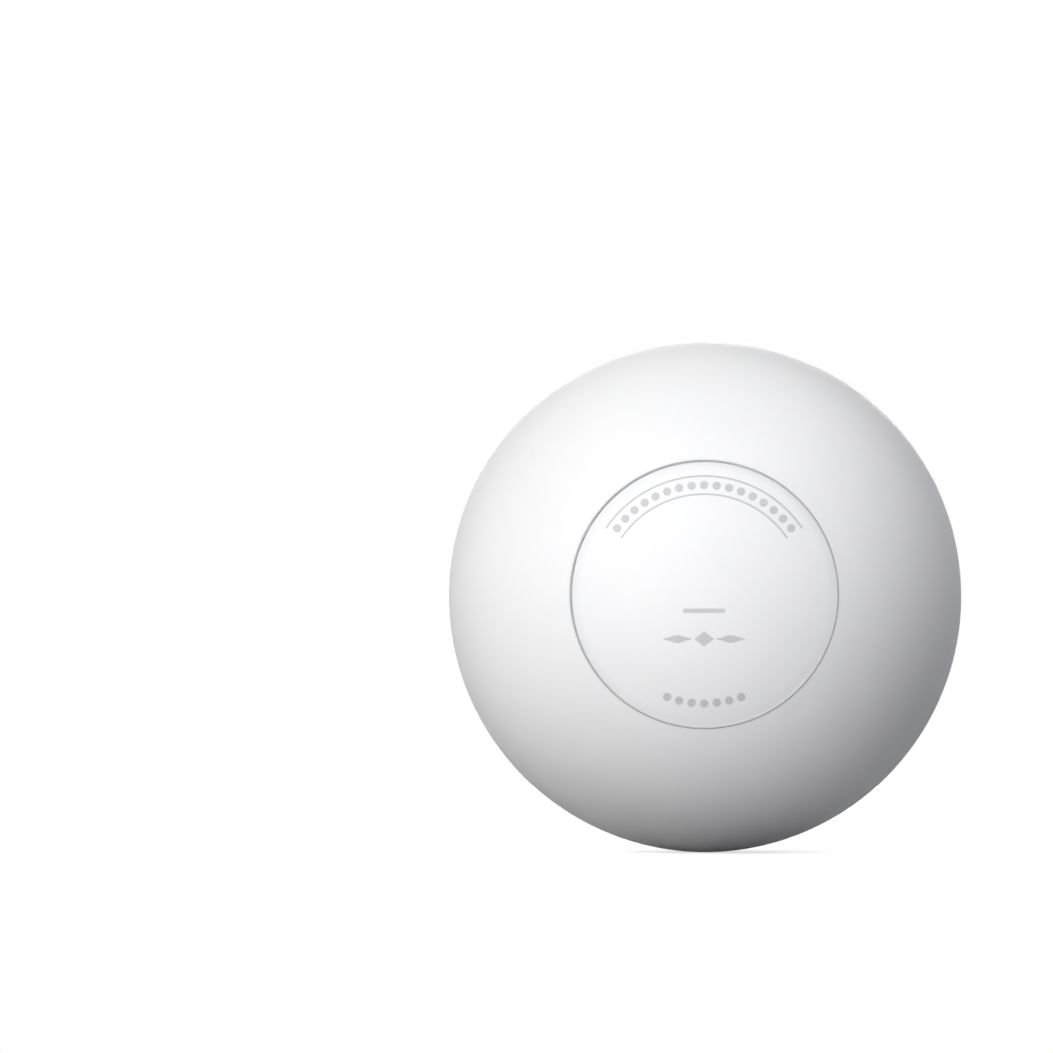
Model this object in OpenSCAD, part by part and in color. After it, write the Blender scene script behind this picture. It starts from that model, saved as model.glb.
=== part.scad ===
// Lacrosse ball: one solid rubber moulding, with a sunk round panel at each end of its moulding
// axis and a painted line on a narrow ledge along the top of each panel's wall.
// The moulding axis lies along Y, the large panel faces -Y, and the ball's centre is the origin.

/* [Ball] */
// Diameter of the round surface
ball_d = 63.5; // [56:0.1:76]
// Width of the flat land that is left where the flash is ground off the parting line
seam_land_w = 1.6; // [0.6:0.1:4]

/* [Large panel] */
// Diameter of the wall round the large panel
large_panel_d = 32.1; // [26:0.1:42]
// Depth of the large panel's floor under the round surface
large_panel_depth = 0.25; // [0.2:0.05:0.8]

/* [Small panel] */
// Diameter of the wall round the small panel
small_panel_d = 22.3; // [14:0.1:30]
// Depth of the small panel's floor under the round surface
small_panel_depth = 0.25; // [0.2:0.05:0.8]

/* [Painted lines] */
// Width of the ledge along the top of a panel's wall that carries the painted line
ledge_w = 0.2; // [0.16:0.02:0.26]
// Depth of that ledge under the round surface, at its outer side
ledge_depth = 0.08; // [0.06:0.01:0.12]
// Distance from the round surface down to the top of the paint
paint_sink = 0.02; // [0.01:0.01:0.05]
// Gap between the paint and the outer side of its ledge
paint_gap = 0.05; // [0:0.01:0.06]

/* [Hidden] */
$fn = 180;

ball_r = ball_d / 2;
// The land is a narrow cylinder round the moulding axis, just deep enough to have its width
land_r = sqrt(pow(ball_r, 2) - pow(seam_land_w / 2, 2));
// How far the ledge's cut reaches into the open panel, so that the two cuts join
ledge_overrun = ledge_w / 10;

// Height, along the moulding axis, of a round surface of radius r at a distance x from the axis
function round_z(r, x) = sqrt(pow(r, 2) - pow(x, 2));

// Half section of the plain ball, with the land where the flash was ground off
module ball_section()
    intersection() {
        circle(ball_r);
        translate([0, -ball_d]) square([land_r, 2 * ball_d]);
    }

// What a panel takes out of the half section, from its floor up and as far out as its wall
module recess_section(panel_d, depth)
    difference() {
        square([panel_d / 2, ball_d]);
        circle(ball_r - depth);
    }

// Section of the ledge, from its flat bottom up to the round surface of radius top_r. It is made
// wider on the inside by the overrun, and narrower on the outside by the gap.
module ledge_section(panel_d, top_r, overrun = 0, gap = 0) {
    inner = panel_d / 2 - overrun;
    outer = panel_d / 2 + ledge_w - gap;
    bottom = round_z(ball_r - ledge_depth, panel_d / 2 + ledge_w);
    polygon([[inner, bottom], [outer, bottom], [outer, round_z(top_r, outer)], [inner, round_z(top_r, inner)]]);
}

// All that is moulded into the end of the ball where a panel lies
module panel_section(panel_d, depth) {
    recess_section(panel_d, depth);
    ledge_section(panel_d, ball_r + ledge_depth, overrun = ledge_overrun);
}

// The paint on the ledge
module paint_section(panel_d)
    ledge_section(panel_d, ball_r - paint_sink, gap = paint_gap);

// Turns a half section round the moulding axis, with its top towards the front
module about_moulding_axis()
    rotate([90, 0, 0]) rotate_extrude() children();

module rubber_ball()
    color("#f4f4f5") about_moulding_axis() difference() {
        ball_section();
        panel_section(large_panel_d, large_panel_depth);
        mirror([0, 1]) panel_section(small_panel_d, small_panel_depth);
    }

module large_panel_line()
    color("#9c9c9f") about_moulding_axis() paint_section(large_panel_d);

module small_panel_line()
    color("#9c9c9f") about_moulding_axis() mirror([0, 1]) paint_section(small_panel_d);

rubber_ball();
large_panel_line();
small_panel_line();
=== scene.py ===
import math
from collections import namedtuple

import bmesh
import bpy
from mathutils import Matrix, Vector


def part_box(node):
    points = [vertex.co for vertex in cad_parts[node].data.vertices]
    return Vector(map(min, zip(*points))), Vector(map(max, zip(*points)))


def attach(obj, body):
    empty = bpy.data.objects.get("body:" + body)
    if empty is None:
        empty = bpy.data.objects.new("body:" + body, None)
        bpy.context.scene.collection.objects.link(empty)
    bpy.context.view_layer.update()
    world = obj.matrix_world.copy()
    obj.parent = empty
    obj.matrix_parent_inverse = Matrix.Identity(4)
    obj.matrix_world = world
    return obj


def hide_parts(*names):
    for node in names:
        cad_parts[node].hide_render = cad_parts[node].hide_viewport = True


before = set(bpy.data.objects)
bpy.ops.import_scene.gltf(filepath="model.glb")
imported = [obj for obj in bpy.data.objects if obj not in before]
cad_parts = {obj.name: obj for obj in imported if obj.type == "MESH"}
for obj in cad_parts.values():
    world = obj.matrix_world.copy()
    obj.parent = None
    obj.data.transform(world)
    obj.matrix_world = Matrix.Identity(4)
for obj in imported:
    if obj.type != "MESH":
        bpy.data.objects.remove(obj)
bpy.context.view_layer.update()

# Sizes of the ball that its boxes don't give, in metres
MM = 0.001
SEAM_LAND_W = 1.6 * MM  # width of the land that is left where the flash is ground off
LEDGE_W = 0.2 * MM  # width of the ledge along the top of a panel's wall
LEDGE_DEPTH = 0.08 * MM  # depth of that ledge under the round surface, at its outer side
PAINT_GAP = 0.05 * MM  # gap between the CAD model's paint and the outer side of its ledge
PAINT_FILM = 0.006 * MM  # thickness of the paint that ran down the wall
PAINT_EDGE = 0.05 * MM  # radius that rounds the paint's inner edge
INK_FILM = 0.015 * MM  # height of the print over the panel's floor
SEATING = 0.01 * MM  # how far paint and print reach into the rubber that they lie on
# Painted shade: the rubber's colour is darkened in from the foot of each panel's wall, where the wall shades
# the floor
PAINTED_SHADE_REACH = 1.4 * MM  # how far in from the foot of a panel's wall the rubber is greyed
SCATTER = 0.15 * MM  # how far light spreads under the rubber's surface

# How finely the shapes are drawn
TURNS = 384
ARC_STEP = math.radians(1.0)
EDGE_STEPS = 6
CREASE = math.radians(35)  # edges that turn by more than this stay sharp
ON_AXIS = 1e-6 * MM  # a point nearer to the moulding axis than this lies on it

# Sizes of the print, in metres
DOT_R = 0.5 * MM
DOT_STEP = math.radians(6.6)  # from dot to dot along an arc
DOTTED_ARC_SHARE = 0.82  # radius of the dotted arcs, as a share of the large panel's
HIGH_DOTS = 17
LOW_DOTS = 7
THIN_RULE_W = 0.2 * MM
THIN_RULE_OFFSET = 1.1 * MM  # from the middle of the arch of dots to each of the thin rules beside it
THIN_RULE_SWEEP = math.radians(112)
SHORT_RULE_L = 5 * MM
SHORT_RULE_W = 0.5 * MM
SHORT_RULE_V = -2.0 * MM
SWELLED_RULE_W = 0.9 * MM
SWELLED_TIP = 0.06 * MM  # half the width of a swelled rule at its ends
LOZENGE_TIP = 0.05 * MM  # half the height of a lozenge at its ends
ROW_V = -5.4 * MM  # the large panel's row: a lozenge in the middle between two swelled rules
ROW_LOZENGE_L = 2.2 * MM
ROW_LOZENGE_H = 1.8 * MM
ROW_RULE_U = 3.2 * MM
ROW_RULE_L = 3.4 * MM
PAIR_LOZENGE_U = 2.1 * MM  # the small panel's row: a lozenge and a swelled rule on both sides
PAIR_LOZENGE_L = 2.0 * MM
PAIR_LOZENGE_H = 1.7 * MM
PAIR_RULE_U = 5.1 * MM
PAIR_RULE_L = 3.6 * MM

# Textures: the size of their features, and how high a bump stands
CLOUD_SIZE = 14 * MM
GLOSS_CLOUD_SIZE = 5 * MM
# Size of the patches in the painted shade at the foot of a panel's wall
PAINTED_SHADE_CLOUD_SIZE = 2 * MM
WAVE_SIZE = 3.5 * MM
WAVE_HEIGHT = 0.012 * MM
GRAIN_SIZE = 0.3 * MM
GRAIN_HEIGHT = 0.012 * MM
GROUND_MARK_SIZE = 0.3 * MM
GROUND_MARK_HEIGHT = 0.02 * MM
PIGMENT_GRAIN_SIZE = 0.1 * MM
PIGMENT_GRAIN_HEIGHT = 0.004 * MM
LINE_CLOUD_SIZE = 1.5 * MM
INK_CLOUD_SIZE = 1.0 * MM

# The photograph
IMAGE_PX = 1053
BALL_CENTRE_PX = (705, 596)
BALL_RADIUS_PX = 256
PANEL_CENTRE_PX = (704.1, 594.1)
CAMERA_DISTANCE = 1.0
SENSOR_W = 36.0  # millimetres

# Colours
WHITE_RUBBER = (0.88, 0.88, 0.885)
WHITE_RUBBER_DULL = (0.865, 0.866, 0.873)
GROUND_RUBBER = (0.76, 0.76, 0.765)
# Colour of the painted shade at the foot of a panel's wall
PAINTED_SHADE_COLOUR = (0.81, 0.81, 0.815)
LINE_PAINT = (0.43, 0.43, 0.44)
PRINT_INK = (0.55, 0.55, 0.56)

NEUTRAL_LIGHT = (1, 1, 1)
COOL_LIGHT = (0.9, 0.92, 1)

# Lamps: name, azimuth, elevation and spread in degrees, the brightness that each gives, and its colour.
# The halo is turned a little from the key, because two lamps in one plane would lose light.
LAMPS = (
    ("key", -23, 16, 16, 0.46, NEUTRAL_LIGHT),
    ("key_halo", -23, 17, 30, 0.82, NEUTRAL_LIGHT),
    ("left", -105, 12, 12, 0.12, NEUTRAL_LIGHT),
    ("top", 110, 60, 25, 0.33, NEUTRAL_LIGHT),
    ("right", 49, 12, 12, 0.11, COOL_LIGHT),
    ("back", 180, 10, 10, 0.8, NEUTRAL_LIGHT),
)
LAMP_DISTANCE = 1.6
AMBIENT = 0.01
FLOOR_REACH = 0.5  # from the ball to the floor's edges
FLOOR_GLOW = 0.6
FLOOR_WHITE = (0.9, 0.9, 0.9)
FLOOR_BOUNCE = (0.24, 0.24, 0.245)  # the floor's colour for the light that it throws back up

Panel = namedtuple("Panel", "name side wall_r floor_r")


def half_width(node):
    """Half the width of a CAD node's box, which is its outer radius."""
    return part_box(node)[1].x


def wall_radius(line):
    """Radius of a panel's wall, from the CAD node of the line on its ledge."""
    return half_width(line) + PAINT_GAP - LEDGE_W


land_r = half_width("rubber_ball")
ball_r = math.hypot(land_r, SEAM_LAND_W / 2)
ball_low, ball_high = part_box("rubber_ball")
large_panel = Panel("large_panel", -1, wall_radius("large_panel_line"), -ball_low.y)
small_panel = Panel("small_panel", 1, wall_radius("small_panel_line"), ball_high.y)


# Turned shapes. A profile is a list of points (r, y): distance from the moulding axis and place along it.
def round_y(radius, r):
    """How far along the moulding axis a round surface lies at a distance r from the axis."""
    return math.sqrt(radius**2 - r**2)


def arc(middle, radius, start, end, steps):
    """Points of an arc, whose angles are measured from the moulding axis."""
    angles = [start + (end - start) * i / steps for i in range(steps + 1)]
    return [(middle[0] + radius * math.sin(t), middle[1] + radius * math.cos(t)) for t in angles]


def round_arc(radius, start, end):
    """An arc about the ball's centre, with about ARC_STEP between its points."""
    return arc((0, 0), radius, start, end, max(1, round(abs(end - start) / ARC_STEP)))


def ledge(panel):
    """Inner and outer radius of a panel's ledge, and the height of its flat bottom."""
    outer = panel.wall_r + LEDGE_W
    return panel.wall_r, outer, round_y(ball_r - LEDGE_DEPTH, outer)


def half_profile(panel):
    """From the middle of a panel's floor, over its wall and ledge, to the edge of the seam land."""
    inner, outer, bottom = ledge(panel)
    points = round_arc(panel.floor_r, 0, math.asin(inner / panel.floor_r))
    points += [(inner, bottom), (outer, bottom)]
    points += round_arc(ball_r, math.asin(outer / ball_r), math.acos(SEAM_LAND_W / 2 / ball_r))
    return [(r, panel.side * y) for r, y in points]


def turned(name, profile, ring=False):
    """Turns a profile about the moulding axis. It starts and ends on that axis, or is closed as a ring."""
    verts = []
    rows = []
    for r, y in profile:
        if r < ON_AXIS:
            rows.append([len(verts)] * TURNS)
            verts.append((0, y, 0))
            continue
        rows.append([len(verts) + i for i in range(TURNS)])
        for i in range(TURNS):
            turn = 2 * math.pi * i / TURNS
            verts.append((r * math.sin(turn), y, r * math.cos(turn)))
    pairs = list(zip(rows, rows[1:]))
    if ring:
        pairs.append((rows[-1], rows[0]))
    faces = []
    for low, high in pairs:
        for i in range(TURNS):
            j = (i + 1) % TURNS
            corners = [low[i], low[j], high[j], high[i]]
            faces.append(list(dict.fromkeys(corners)))
    return solid(name, verts, faces)


def solid(name, verts, faces):
    """A mesh object with smooth faces, sharp creases and outward normals."""
    mesh = bpy.data.meshes.new(name)
    mesh.from_pydata(verts, [], faces)
    shape = bmesh.new()
    shape.from_mesh(mesh)
    bmesh.ops.recalc_face_normals(shape, faces=shape.faces)
    shape.to_mesh(mesh)
    shape.free()
    mesh.shade_smooth()
    mesh.set_sharp_from_angle(angle=CREASE)
    piece = bpy.data.objects.new(name, mesh)
    bpy.context.scene.collection.objects.link(piece)
    return piece


# Materials
class Nodes:
    """A material and short calls to build its nodes."""

    def __init__(self, name):
        self.material = bpy.data.materials.new(name)
        self.material.use_nodes = True
        self.tree = self.material.node_tree
        self.shader = self.tree.nodes["Principled BSDF"]
        self.place = self.tree.nodes.new("ShaderNodeTexCoord").outputs["Object"]

    def new(self, kind, inputs=(), **settings):
        """A node with its inputs, each a number, a vector or a socket to link, and its settings."""
        made = self.tree.nodes.new("ShaderNode" + kind)
        for key, value in settings.items():
            setattr(made, key, value)
        for key, value in dict(inputs).items():
            self.set(made.inputs[key], value)
        return made

    def set(self, socket, value):
        """Links a socket, or gives it a number or vector."""
        if isinstance(value, bpy.types.NodeSocket):
            self.tree.links.new(value, socket)
        else:
            socket.default_value = value

    def shade(self, **values):
        """Sets the shader's inputs, whose names have _ for a space here."""
        for key, value in values.items():
            self.set(self.shader.inputs[key.replace("_", " ")], value)

    def noise(self, size, detail=2.0, place=None):
        """Noise whose features are about size metres across."""
        values = {"Vector": place or self.place, "Scale": 1 / size, "Detail": detail}
        return self.new("TexNoise", values).outputs["Fac"]

    def spread(self, value, low, high):
        """Turns noise, which lies mostly between 0.3 and 0.7, into a number between low and high."""
        limits = {"Value": value, "From Min": 0.3, "From Max": 0.7, "To Min": low, "To Max": high}
        return self.new("MapRange", limits).outputs["Result"]

    def mix(self, share, first, second):
        """A colour between two others, each a socket or three numbers."""
        mix = self.new("Mix", data_type="RGBA")
        self.set(mix.inputs["Factor"], share)
        # The node has sockets A, B and Result for each kind of value; these are the ones for colours
        for socket, colour in ((mix.inputs[6], first), (mix.inputs[7], second)):
            self.set(socket, (*colour, 1) if isinstance(colour, tuple) else colour)
        return mix.outputs[2]

    def between(self, value, first, second):
        """Two colours in clouds, by noise."""
        return self.mix(self.spread(value, 0.0, 1.0), first, second)

    def bump(self, height, depth, under=None):
        """Normals of a relief, depth metres high, that can lie on top of another."""
        values = {"Height": height, "Distance": depth, "Strength": 1.0}
        if under:
            values["Normal"] = under
        return self.new("Bump", values).outputs["Normal"]


def white_rubber(name, wall_r=None):
    """Satin rubber with a fine moulded grain and faint clouds in its gloss and whiteness.

    On a panel's floor a painted shade greys it near the foot of the wall, at wall_r from the moulding axis,
    where the wall shades the floor."""
    m = Nodes(name)
    colour = m.between(m.noise(CLOUD_SIZE, 3.0), WHITE_RUBBER, WHITE_RUBBER_DULL)
    # Painted shade: the floor's colour darkens smoothly towards the foot of the wall, in uneven patches
    if wall_r:
        across = m.new("VectorMath", {0: m.place, 1: (1, 0, 1)}, operation="MULTIPLY").outputs[0]
        from_axis = m.new("VectorMath", {0: across}, operation="LENGTH").outputs["Value"]
        reach = {"Value": from_axis, "From Min": wall_r - PAINTED_SHADE_REACH, "From Max": wall_r}
        painted_shade = m.new("MapRange", reach, interpolation_type="SMOOTHSTEP").outputs["Result"]
        uneven = m.spread(m.noise(PAINTED_SHADE_CLOUD_SIZE, 3.0), 0.7, 1.0)
        amount = m.new("Math", {0: painted_shade, 1: uneven}, operation="MULTIPLY").outputs[0]
        colour = m.mix(amount, colour, PAINTED_SHADE_COLOUR)
    waves = m.bump(m.noise(WAVE_SIZE), WAVE_HEIGHT)
    m.shade(
        Base_Color=colour,
        Roughness=m.spread(m.noise(GLOSS_CLOUD_SIZE, 4.0), 0.56, 0.66),
        Specular_IOR_Level=0.25,
        Subsurface_Weight=1.0,
        Subsurface_Radius=(1, 1, 1),
        Subsurface_Scale=SCATTER,
        Normal=m.bump(m.noise(GRAIN_SIZE, 3.0), GRAIN_HEIGHT, waves),
    )
    return m.material


def ground_rubber():
    """The land of the parting line: matt, with fine marks that the grinding left along it."""
    m = Nodes("ground_rubber")
    # Drawn out fifty times along the land
    along = m.new("VectorMath", {0: m.place, 1: (0.02, 1.0, 0.02)}, operation="MULTIPLY").outputs[0]
    marks = m.noise(GROUND_MARK_SIZE, 4.0, along)
    m.shade(
        Base_Color=m.between(marks, GROUND_RUBBER, WHITE_RUBBER_DULL),
        Roughness=m.spread(marks, 0.68, 0.8),
        Specular_IOR_Level=0.35,
        Normal=m.bump(marks, GROUND_MARK_HEIGHT),
    )
    return m.material


def pigment(name, colour, fade, cloud_size):
    """Matt paint or ink that lies a little thinner in some places, where it is paler by the share fade."""
    m = Nodes(name)
    cover = m.noise(cloud_size, 3.0)
    thin = tuple(c + (1 - c) * fade for c in colour)
    m.shade(
        Base_Color=m.between(cover, colour, thin),
        Roughness=m.spread(cover, 0.5, 0.62),
        Specular_IOR_Level=0.35,
        Normal=m.bump(m.noise(PIGMENT_GRAIN_SIZE), PIGMENT_GRAIN_HEIGHT),
    )
    return m.material


# The ball
def rubber_ball():
    """The whole moulding. Its land and the floors of its panels have materials of their own."""
    front = half_profile(large_panel)
    back = half_profile(small_panel)
    ball = turned("ball_rubber", front + back[::-1])
    ball.data.materials.append(white_rubber("white_rubber"))
    ball.data.materials.append(ground_rubber())
    for panel in (large_panel, small_panel):
        ball.data.materials.append(white_rubber(panel.name + "_rubber", panel.wall_r))
    land, large_floor, small_floor = 1, 2, 3
    for face in ball.data.polygons:
        across = math.hypot(face.center.x, face.center.z)
        if abs(face.center.y) < SEAM_LAND_W / 2:
            face.material_index = land
        elif face.center.y < 0 and across < large_panel.wall_r:
            face.material_index = large_floor
        elif face.center.y > 0 and across < small_panel.wall_r:
            face.material_index = small_floor
    return ball


def paint_line(panel, material):
    """The line's paint, which fills the ledge up to the round surface. A film of it ran down the wall."""
    inner, outer, bottom = ledge(panel)
    foot = round_y(panel.floor_r, inner)
    face = inner - PAINT_FILM
    edge = (face + PAINT_EDGE, round_y(ball_r - PAINT_EDGE, face + PAINT_EDGE))
    points = [(face, foot - SEATING), (inner + SEATING, foot - SEATING)]
    points += [(inner + SEATING, bottom - SEATING), (outer + SEATING, bottom - SEATING)]
    points += [(outer + SEATING, round_y(ball_r - SEATING, outer + SEATING)), (outer, round_y(ball_r, outer))]
    points += arc(edge, PAINT_EDGE, math.atan2(*edge), -math.pi / 2, EDGE_STEPS)
    line = turned(panel.name + "_paint", [(r, panel.side * y) for r, y in points], ring=True)
    line.data.materials.append(material)
    return line


# Print. A stroke runs along a path on a panel as seen from in front: u to the right and v up from the middle.
def stroke(place_at, half_at, steps):
    """Rows of points across a stroke, from its left to its right, for shares 0 to 1 of its length."""
    rows = []
    for i in range(steps + 1):
        share = i / steps
        (u, v), (du, dv) = place_at(share)
        half = half_at(share)
        rows.append([(u - dv * half * k / 2, v + du * half * k / 2) for k in range(-2, 3)])
    return rows


def arc_stroke(radius, middle_angle, sweep, half_at, steps):
    """A stroke along a circle about the panel's middle; angles are clockwise from the top."""

    def place_at(share):
        t = middle_angle + sweep * (share - 0.5)
        return (radius * math.sin(t), radius * math.cos(t)), (math.cos(t), -math.sin(t))

    return stroke(place_at, half_at, steps)


def level_stroke(u, v, length, half_at, steps):
    """A level stroke with its middle at (u, v)."""

    def place_at(share):
        return (u + length * (share - 0.5), v), (1, 0)

    return stroke(place_at, half_at, steps)


def dot(u, v, radius, steps=16):
    """A round dot, cut off just short of its left and right ends, where its rows would have no height."""
    rows = []
    for i in range(steps + 1):
        t = math.pi * (0.02 + 0.96 * i / steps)
        half = radius * math.sin(t)
        rows.append([(u - radius * math.cos(t), v + half * k / 2) for k in range(-2, 3)])
    return rows


def even(width):
    """Half widths of a stroke that is as wide all along."""
    return lambda share: width / 2


def swelled(width, tip):
    """Half widths of a rule that swells towards its middle."""
    return lambda share: tip + (width / 2 - tip) * math.sin(math.pi * share) ** 2


def lozenge(height, tip):
    """Half heights of a lozenge."""
    return lambda share: tip + (height / 2 - tip) * (1 - abs(2 * share - 1))


def printed(panel, name, strokes, material):
    """One piece of ink film, made of strokes that lie on a panel's floor."""
    verts = []
    faces = []
    for rows in strokes:
        base = len(verts)
        across = len(rows[0])
        count = len(rows) * across
        for radius in (panel.floor_r + INK_FILM, panel.floor_r - SEATING):
            for row in rows:
                for u, v in row:
                    y = math.sqrt(radius**2 - u**2 - v**2)
                    verts.append((-panel.side * u, panel.side * y, v))
        for i in range(len(rows) - 1):
            for k in range(across - 1):
                a = base + i * across + k
                b = a + across
                faces.append((a, b, b + 1, a + 1))
                faces.append((a + count, a + count + 1, b + count + 1, b + count))
        rim = [(i, 0) for i in range(len(rows))]
        rim += [(len(rows) - 1, k) for k in range(1, across)]
        rim += [(i, across - 1) for i in range(len(rows) - 2, -1, -1)]
        rim += [(0, k) for k in range(across - 2, 0, -1)]
        around = [base + i * across + k for i, k in rim]
        for a, b in zip(around, around[1:] + around[:1]):
            faces.append((a, a + count, b + count, b))
    piece = solid(name, verts, faces)
    piece.data.materials.append(material)
    return piece


def dotted_arc(radius, middle_angle, count):
    """Dots along a circle about the panel's middle; the angle is clockwise from the top."""
    dots = []
    for i in range(count):
        t = middle_angle + DOT_STEP * (i - (count - 1) / 2)
        dots.append(dot(radius * math.sin(t), radius * math.cos(t), DOT_R))
    return dots


def large_panel_strokes():
    """A high arc of dots between thin rules, a short rule, a lozenge between swelled rules, a low arc."""
    radius = DOTTED_ARC_SHARE * large_panel.wall_r
    strokes = dotted_arc(radius, 0, HIGH_DOTS)
    for offset in (-THIN_RULE_OFFSET, THIN_RULE_OFFSET):
        strokes.append(arc_stroke(radius + offset, 0, THIN_RULE_SWEEP, even(THIN_RULE_W), 90))
    strokes.append(level_stroke(0, SHORT_RULE_V, SHORT_RULE_L, even(SHORT_RULE_W), 20))
    diamond = lozenge(ROW_LOZENGE_H, LOZENGE_TIP)
    strokes.append(level_stroke(0, ROW_V, ROW_LOZENGE_L, diamond, 16))
    for side in (-1, 1):
        rule = swelled(SWELLED_RULE_W, SWELLED_TIP)
        strokes.append(level_stroke(side * ROW_RULE_U, ROW_V, ROW_RULE_L, rule, 24))
    strokes += dotted_arc(radius, math.pi, LOW_DOTS)
    return strokes


def small_panel_strokes():
    """Two lozenges between swelled rules. The middle stays bare, because ink would stand highest there."""
    strokes = []
    for side in (-1, 1):
        diamond = lozenge(PAIR_LOZENGE_H, LOZENGE_TIP)
        strokes.append(level_stroke(side * PAIR_LOZENGE_U, 0, PAIR_LOZENGE_L, diamond, 16))
        rule = swelled(SWELLED_RULE_W, SWELLED_TIP)
        strokes.append(level_stroke(side * PAIR_RULE_U, 0, PAIR_RULE_L, rule, 24))
    return strokes


# The studio
def direction(azimuth, elevation):
    """From the ball towards a place: azimuth 0 is in front of the large panel and 90 to its right."""
    a = math.radians(azimuth)
    e = math.radians(elevation)
    return Vector((math.sin(a) * math.cos(e), -math.cos(a) * math.cos(e), math.sin(e)))


def soft_light(name, azimuth, elevation, spread, strength, colour):
    """A round soft box that is seen from the ball within spread degrees of its middle.

    A white surface that faces it is lit to about strength, where 1 is white."""
    lamp = bpy.data.lights.new(name, "AREA")
    lamp.shape = "DISK"
    lamp.size = 2 * LAMP_DISTANCE * math.tan(math.radians(spread))
    lamp.energy = strength * (math.pi * LAMP_DISTANCE) ** 2
    lamp.color = colour
    box = bpy.data.objects.new(name, lamp)
    towards = direction(azimuth, elevation)
    box.location = towards * LAMP_DISTANCE
    box.rotation_euler = towards.to_track_quat("Z", "Y").to_euler()
    box.visible_camera = False
    bpy.context.scene.collection.objects.link(box)


def seen_directly(tree):
    """1 for rays that show the surroundings themselves, in view, in gloss or through glass, and else 0."""
    path = tree.nodes.new("ShaderNodeLightPath")
    total = path.outputs["Is Camera Ray"]
    for kind in ("Is Glossy Ray", "Is Transmission Ray"):
        higher = tree.nodes.new("ShaderNodeMath")
        higher.operation = "MAXIMUM"
        tree.links.new(total, higher.inputs[0])
        tree.links.new(path.outputs[kind], higher.inputs[1])
        total = higher.outputs[0]
    return total


def white_world():
    """A white surrounding that lights the ball only dimly."""
    world = bpy.data.worlds.new("white_surrounding")
    world.use_nodes = True
    tree = world.node_tree
    seen = tree.nodes["Background"]
    seen.inputs["Color"].default_value = (1, 1, 1, 1)
    seen.inputs["Strength"].default_value = 1.0
    lights = tree.nodes.new("ShaderNodeBackground")
    lights.inputs["Color"].default_value = (*COOL_LIGHT, 1)
    lights.inputs["Strength"].default_value = AMBIENT
    mix = tree.nodes.new("ShaderNodeMixShader")
    tree.links.new(seen_directly(tree), mix.inputs[0])
    tree.links.new(lights.outputs[0], mix.inputs[1])
    tree.links.new(seen.outputs[0], mix.inputs[2])
    tree.links.new(mix.outputs[0], tree.nodes["World Output"].inputs["Surface"])
    bpy.context.scene.world = world


def white_floor():
    """A floor that shows white but for the ball's shadow, and throws little light back up."""
    corners = [(x * FLOOR_REACH, y * FLOOR_REACH, -land_r) for x, y in ((-1, -1), (1, -1), (1, 1), (-1, 1))]
    mesh = bpy.data.meshes.new("floor")
    mesh.from_pydata(corners, [], [(0, 1, 2, 3)])
    floor = bpy.data.objects.new("floor", mesh)
    bpy.context.scene.collection.objects.link(floor)
    material = bpy.data.materials.new("white_floor")
    material.use_nodes = True
    tree = material.node_tree
    tree.nodes.remove(tree.nodes["Principled BSDF"])
    lit = tree.nodes.new("ShaderNodeBsdfDiffuse")
    lit.inputs["Color"].default_value = (*FLOOR_WHITE, 1)
    glows = tree.nodes.new("ShaderNodeEmission")
    glows.inputs["Strength"].default_value = FLOOR_GLOW
    both = tree.nodes.new("ShaderNodeAddShader")
    dim = tree.nodes.new("ShaderNodeBsdfDiffuse")
    dim.inputs["Color"].default_value = (*FLOOR_BOUNCE, 1)
    mix = tree.nodes.new("ShaderNodeMixShader")
    tree.links.new(lit.outputs[0], both.inputs[0])
    tree.links.new(glows.outputs[0], both.inputs[1])
    tree.links.new(seen_directly(tree), mix.inputs[0])
    tree.links.new(dim.outputs[0], mix.inputs[1])
    tree.links.new(both.outputs[0], mix.inputs[2])
    tree.links.new(mix.outputs[0], tree.nodes["Material Output"].inputs["Surface"])
    floor.data.materials.append(material)


def camera():
    """Looks level at the large panel, with the ball where the photograph has it."""
    half_frame = IMAGE_PX / 2
    seen_r = ball_r / math.sqrt(CAMERA_DISTANCE**2 - ball_r**2)
    half_view = seen_r * half_frame / BALL_RADIUS_PX
    # The middle of the panel's floor is seen a little off the ball's centre
    per_px = seen_r / BALL_RADIUS_PX * (CAMERA_DISTANCE - large_panel.floor_r) / large_panel.floor_r
    azimuth = -math.degrees((PANEL_CENTRE_PX[0] - BALL_CENTRE_PX[0]) * per_px)
    elevation = math.degrees((PANEL_CENTRE_PX[1] - BALL_CENTRE_PX[1]) * per_px)
    # Turned from the ball's centre to the middle of the frame
    across = (BALL_CENTRE_PX[0] / half_frame - 1) * half_view
    down = (BALL_CENTRE_PX[1] / half_frame - 1) * half_view
    pitch = math.atan(down) - math.radians(elevation)
    yaw = math.atan(across * math.cos(pitch)) + math.radians(azimuth)
    lens = bpy.data.cameras.new("camera")
    lens.sensor_width = SENSOR_W
    lens.lens = SENSOR_W / 2 / half_view
    eye = bpy.data.objects.new("camera", lens)
    eye.location = direction(azimuth, elevation) * CAMERA_DISTANCE
    eye.rotation_euler = (math.pi / 2 + pitch, 0, yaw)
    bpy.context.scene.collection.objects.link(eye)
    bpy.context.scene.camera = eye


camera()
ball = rubber_ball()
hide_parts("rubber_ball")
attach(ball, "root")

line_paint = pigment("line_paint", LINE_PAINT, 0.08, LINE_CLOUD_SIZE)
print_ink = pigment("print_ink", PRINT_INK, 0.1, INK_CLOUD_SIZE)
for panel, strokes in ((large_panel, large_panel_strokes()), (small_panel, small_panel_strokes())):
    line = paint_line(panel, line_paint)
    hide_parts(panel.name + "_line")
    marks = printed(panel, panel.name + "_print", strokes, print_ink)
    for piece in (line, marks):
        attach(piece, "root")

for lamp in LAMPS:
    soft_light(*lamp)
white_world()
white_floor()

bpy.context.scene.view_settings.view_transform = "Standard"
